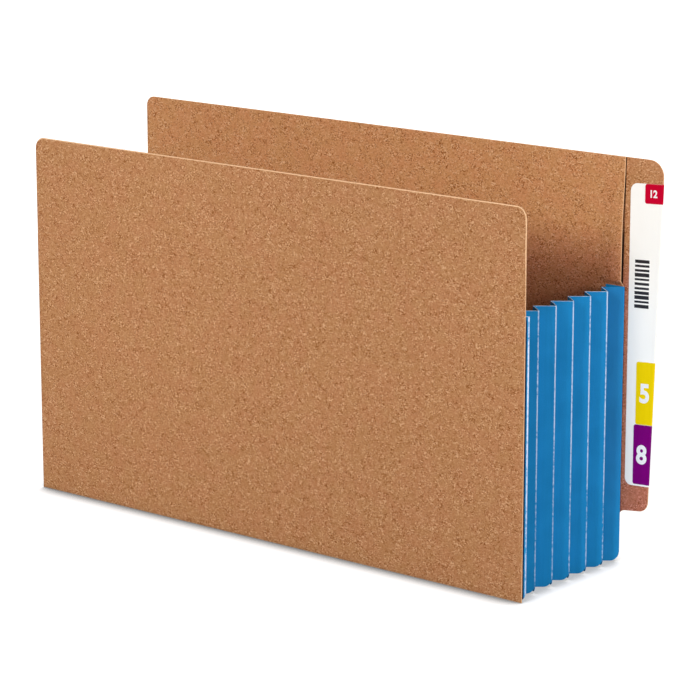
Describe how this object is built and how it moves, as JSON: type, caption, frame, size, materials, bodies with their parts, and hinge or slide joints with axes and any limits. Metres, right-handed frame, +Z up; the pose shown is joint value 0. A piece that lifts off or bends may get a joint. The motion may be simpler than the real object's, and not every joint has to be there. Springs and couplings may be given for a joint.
{
  "type": "expanding file pocket",
  "caption": "Expanding file pocket with board front and back panels, accordion gussets, fold-up bottom, drop front and labelled end tab.",
  "frame": {"origin": "middle of the footprint on the surface the pocket stands on", "axes": "+X along the panels towards the end tab, +Y from the front panel to the back panel, +Z up"},
  "size_m": [0.4026, 0.1028, 0.2413],
  "materials": {
    "kraft": "matte speckled kraft board",
    "gusset": "matte blue lined paper",
    "carrier_label": "smooth white label",
    "period_label": "smooth red label",
    "upper_colour_label": "smooth yellow label",
    "lower_colour_label": "smooth purple label"
  },
  "bodies": {
    "back": {"back_panel": "kraft", "tab_panel": "kraft", "right_back_flap": "gusset", "left_back_flap": "gusset", "carrier_label": "carrier_label", "period_label": "period_label", "upper_colour_label": "upper_colour_label", "lower_colour_label": "lower_colour_label"},
    "bottom_rear": {"bottom_rear_leaf": "kraft"},
    "bottom_front": {"bottom_front_leaf": "kraft"},
    "front": {"front_panel": "kraft", "right_front_flap": "gusset", "left_front_flap": "gusset"},
    "drop_front": {"drop_front": "kraft"},
    "right_pleat_1": {"right_pleat_1": "gusset"},
    "right_pleat_2": {"right_pleat_2": "gusset"},
    "right_pleat_3": {"right_pleat_3": "gusset"},
    "right_pleat_4": {"right_pleat_4": "gusset"},
    "right_pleat_5": {"right_pleat_5": "gusset"},
    "right_pleat_6": {"right_pleat_6": "gusset"},
    "right_pleat_7": {"right_pleat_7": "gusset"},
    "right_pleat_8": {"right_pleat_8": "gusset"},
    "right_pleat_9": {"right_pleat_9": "gusset"},
    "right_pleat_10": {"right_pleat_10": "gusset"},
    "right_pleat_11": {"right_pleat_11": "gusset"},
    "right_pleat_12": {"right_pleat_12": "gusset"},
    "left_pleat_1": {"left_pleat_1": "gusset"},
    "left_pleat_2": {"left_pleat_2": "gusset"},
    "left_pleat_3": {"left_pleat_3": "gusset"},
    "left_pleat_4": {"left_pleat_4": "gusset"},
    "left_pleat_5": {"left_pleat_5": "gusset"},
    "left_pleat_6": {"left_pleat_6": "gusset"},
    "left_pleat_7": {"left_pleat_7": "gusset"},
    "left_pleat_8": {"left_pleat_8": "gusset"},
    "left_pleat_9": {"left_pleat_9": "gusset"},
    "left_pleat_10": {"left_pleat_10": "gusset"},
    "left_pleat_11": {"left_pleat_11": "gusset"},
    "left_pleat_12": {"left_pleat_12": "gusset"}
  },
  "joints": [
    {"name": "expansion", "type": "hinge", "parent": "back", "child": "bottom_rear", "pos_m": [-0.01236, 0.04958, 0.0012], "axis": [1, 0, 0], "range_deg": [-37.5, 19]},
    {"name": "bottom_crease", "type": "hinge", "parent": "bottom_rear", "child": "bottom_front", "pos_m": [-0.01236, -0.00042, 0.05875], "axis": [1, 0, 0], "range_deg": [-38, 75]},
    {"name": "front_bottom_fold", "type": "hinge", "parent": "bottom_front", "child": "front", "pos_m": [-0.01236, -0.05042, 0.0012], "axis": [1, 0, 0], "range_deg": [-37.5, 19]},
    {"name": "drop_front_fold", "type": "hinge", "parent": "front", "child": "drop_front", "pos_m": [-0.01066, -0.05142, 0.1662], "axis": [1, 0, 0], "range_deg": [0, 175]},
    {"name": "right_fold_12", "type": "hinge", "parent": "back", "child": "right_pleat_12", "pos_m": [0.17594, 0.04958, 0.08], "axis": [0, 0, 1], "range_deg": [-37.5, 19]},
    {"name": "right_fold_11", "type": "hinge", "parent": "right_pleat_12", "child": "right_pleat_11", "pos_m": [0.16635, 0.04125, 0.08], "axis": [0, 0, 1], "range_deg": [-38, 75]},
    {"name": "right_fold_10", "type": "hinge", "parent": "right_pleat_11", "child": "right_pleat_10", "pos_m": [0.17594, 0.03291, 0.08], "axis": [0, 0, 1], "range_deg": [-75, 38]},
    {"name": "right_fold_9", "type": "hinge", "parent": "right_pleat_10", "child": "right_pleat_9", "pos_m": [0.16635, 0.02458, 0.08], "axis": [0, 0, 1], "range_deg": [-38, 75]},
    {"name": "right_fold_8", "type": "hinge", "parent": "right_pleat_9", "child": "right_pleat_8", "pos_m": [0.17594, 0.01625, 0.08], "axis": [0, 0, 1], "range_deg": [-75, 38]},
    {"name": "right_fold_7", "type": "hinge", "parent": "right_pleat_8", "child": "right_pleat_7", "pos_m": [0.16635, 0.00791, 0.08], "axis": [0, 0, 1], "range_deg": [-38, 75]},
    {"name": "right_fold_0", "type": "hinge", "parent": "front", "child": "right_pleat_1", "pos_m": [0.17594, -0.05042, 0.08], "axis": [0, 0, 1], "range_deg": [-19, 37.5]},
    {"name": "right_fold_1", "type": "hinge", "parent": "right_pleat_1", "child": "right_pleat_2", "pos_m": [0.16635, -0.04209, 0.08], "axis": [0, 0, 1], "range_deg": [-75, 38]},
    {"name": "right_fold_2", "type": "hinge", "parent": "right_pleat_2", "child": "right_pleat_3", "pos_m": [0.17594, -0.03375, 0.08], "axis": [0, 0, 1], "range_deg": [-38, 75]},
    {"name": "right_fold_3", "type": "hinge", "parent": "right_pleat_3", "child": "right_pleat_4", "pos_m": [0.16635, -0.02542, 0.08], "axis": [0, 0, 1], "range_deg": [-75, 38]},
    {"name": "right_fold_4", "type": "hinge", "parent": "right_pleat_4", "child": "right_pleat_5", "pos_m": [0.17594, -0.01709, 0.08], "axis": [0, 0, 1], "range_deg": [-38, 75]},
    {"name": "right_fold_5", "type": "hinge", "parent": "right_pleat_5", "child": "right_pleat_6", "pos_m": [0.16635, -0.00875, 0.08], "axis": [0, 0, 1], "range_deg": [-75, 38]},
    {"name": "left_fold_12", "type": "hinge", "parent": "back", "child": "left_pleat_12", "pos_m": [-0.20066, 0.04958, 0.08], "axis": [0, 0, 1], "range_deg": [-19, 37.5]},
    {"name": "left_fold_11", "type": "hinge", "parent": "left_pleat_12", "child": "left_pleat_11", "pos_m": [-0.19107, 0.04125, 0.08], "axis": [0, 0, 1], "range_deg": [-75, 38]},
    {"name": "left_fold_10", "type": "hinge", "parent": "left_pleat_11", "child": "left_pleat_10", "pos_m": [-0.20066, 0.03291, 0.08], "axis": [0, 0, 1], "range_deg": [-38, 75]},
    {"name": "left_fold_9", "type": "hinge", "parent": "left_pleat_10", "child": "left_pleat_9", "pos_m": [-0.19107, 0.02458, 0.08], "axis": [0, 0, 1], "range_deg": [-75, 38]},
    {"name": "left_fold_8", "type": "hinge", "parent": "left_pleat_9", "child": "left_pleat_8", "pos_m": [-0.20066, 0.01625, 0.08], "axis": [0, 0, 1], "range_deg": [-38, 75]},
    {"name": "left_fold_7", "type": "hinge", "parent": "left_pleat_8", "child": "left_pleat_7", "pos_m": [-0.19107, 0.00791, 0.08], "axis": [0, 0, 1], "range_deg": [-75, 38]},
    {"name": "left_fold_0", "type": "hinge", "parent": "front", "child": "left_pleat_1", "pos_m": [-0.20066, -0.05042, 0.08], "axis": [0, 0, 1], "range_deg": [-37.5, 19]},
    {"name": "left_fold_1", "type": "hinge", "parent": "left_pleat_1", "child": "left_pleat_2", "pos_m": [-0.19107, -0.04209, 0.08], "axis": [0, 0, 1], "range_deg": [-38, 75]},
    {"name": "left_fold_2", "type": "hinge", "parent": "left_pleat_2", "child": "left_pleat_3", "pos_m": [-0.20066, -0.03375, 0.08], "axis": [0, 0, 1], "range_deg": [-75, 38]},
    {"name": "left_fold_3", "type": "hinge", "parent": "left_pleat_3", "child": "left_pleat_4", "pos_m": [-0.19107, -0.02542, 0.08], "axis": [0, 0, 1], "range_deg": [-38, 75]},
    {"name": "left_fold_4", "type": "hinge", "parent": "left_pleat_4", "child": "left_pleat_5", "pos_m": [-0.20066, -0.01709, 0.08], "axis": [0, 0, 1], "range_deg": [-75, 38]},
    {"name": "left_fold_5", "type": "hinge", "parent": "left_pleat_5", "child": "left_pleat_6", "pos_m": [-0.19107, -0.00875, 0.08], "axis": [0, 0, 1], "range_deg": [-38, 75]}
  ],
  "couplings": [
    {"joint": "bottom_crease", "follows": "expansion", "ratio": -2},
    {"joint": "front_bottom_fold", "follows": "expansion", "ratio": 1},
    {"joint": "right_fold_12", "follows": "expansion", "ratio": 1},
    {"joint": "right_fold_11", "follows": "expansion", "ratio": -2},
    {"joint": "right_fold_10", "follows": "expansion", "ratio": 2},
    {"joint": "right_fold_9", "follows": "expansion", "ratio": -2},
    {"joint": "right_fold_8", "follows": "expansion", "ratio": 2},
    {"joint": "right_fold_7", "follows": "expansion", "ratio": -2},
    {"joint": "right_fold_0", "follows": "expansion", "ratio": -1},
    {"joint": "right_fold_1", "follows": "expansion", "ratio": 2},
    {"joint": "right_fold_2", "follows": "expansion", "ratio": -2},
    {"joint": "right_fold_3", "follows": "expansion", "ratio": 2},
    {"joint": "right_fold_4", "follows": "expansion", "ratio": -2},
    {"joint": "right_fold_5", "follows": "expansion", "ratio": 2},
    {"joint": "left_fold_12", "follows": "expansion", "ratio": -1},
    {"joint": "left_fold_11", "follows": "expansion", "ratio": 2},
    {"joint": "left_fold_10", "follows": "expansion", "ratio": -2},
    {"joint": "left_fold_9", "follows": "expansion", "ratio": 2},
    {"joint": "left_fold_8", "follows": "expansion", "ratio": -2},
    {"joint": "left_fold_7", "follows": "expansion", "ratio": 2},
    {"joint": "left_fold_0", "follows": "expansion", "ratio": 1},
    {"joint": "left_fold_1", "follows": "expansion", "ratio": -2},
    {"joint": "left_fold_2", "follows": "expansion", "ratio": 2},
    {"joint": "left_fold_3", "follows": "expansion", "ratio": -2},
    {"joint": "left_fold_4", "follows": "expansion", "ratio": 2},
    {"joint": "left_fold_5", "follows": "expansion", "ratio": -2}
  ]
}
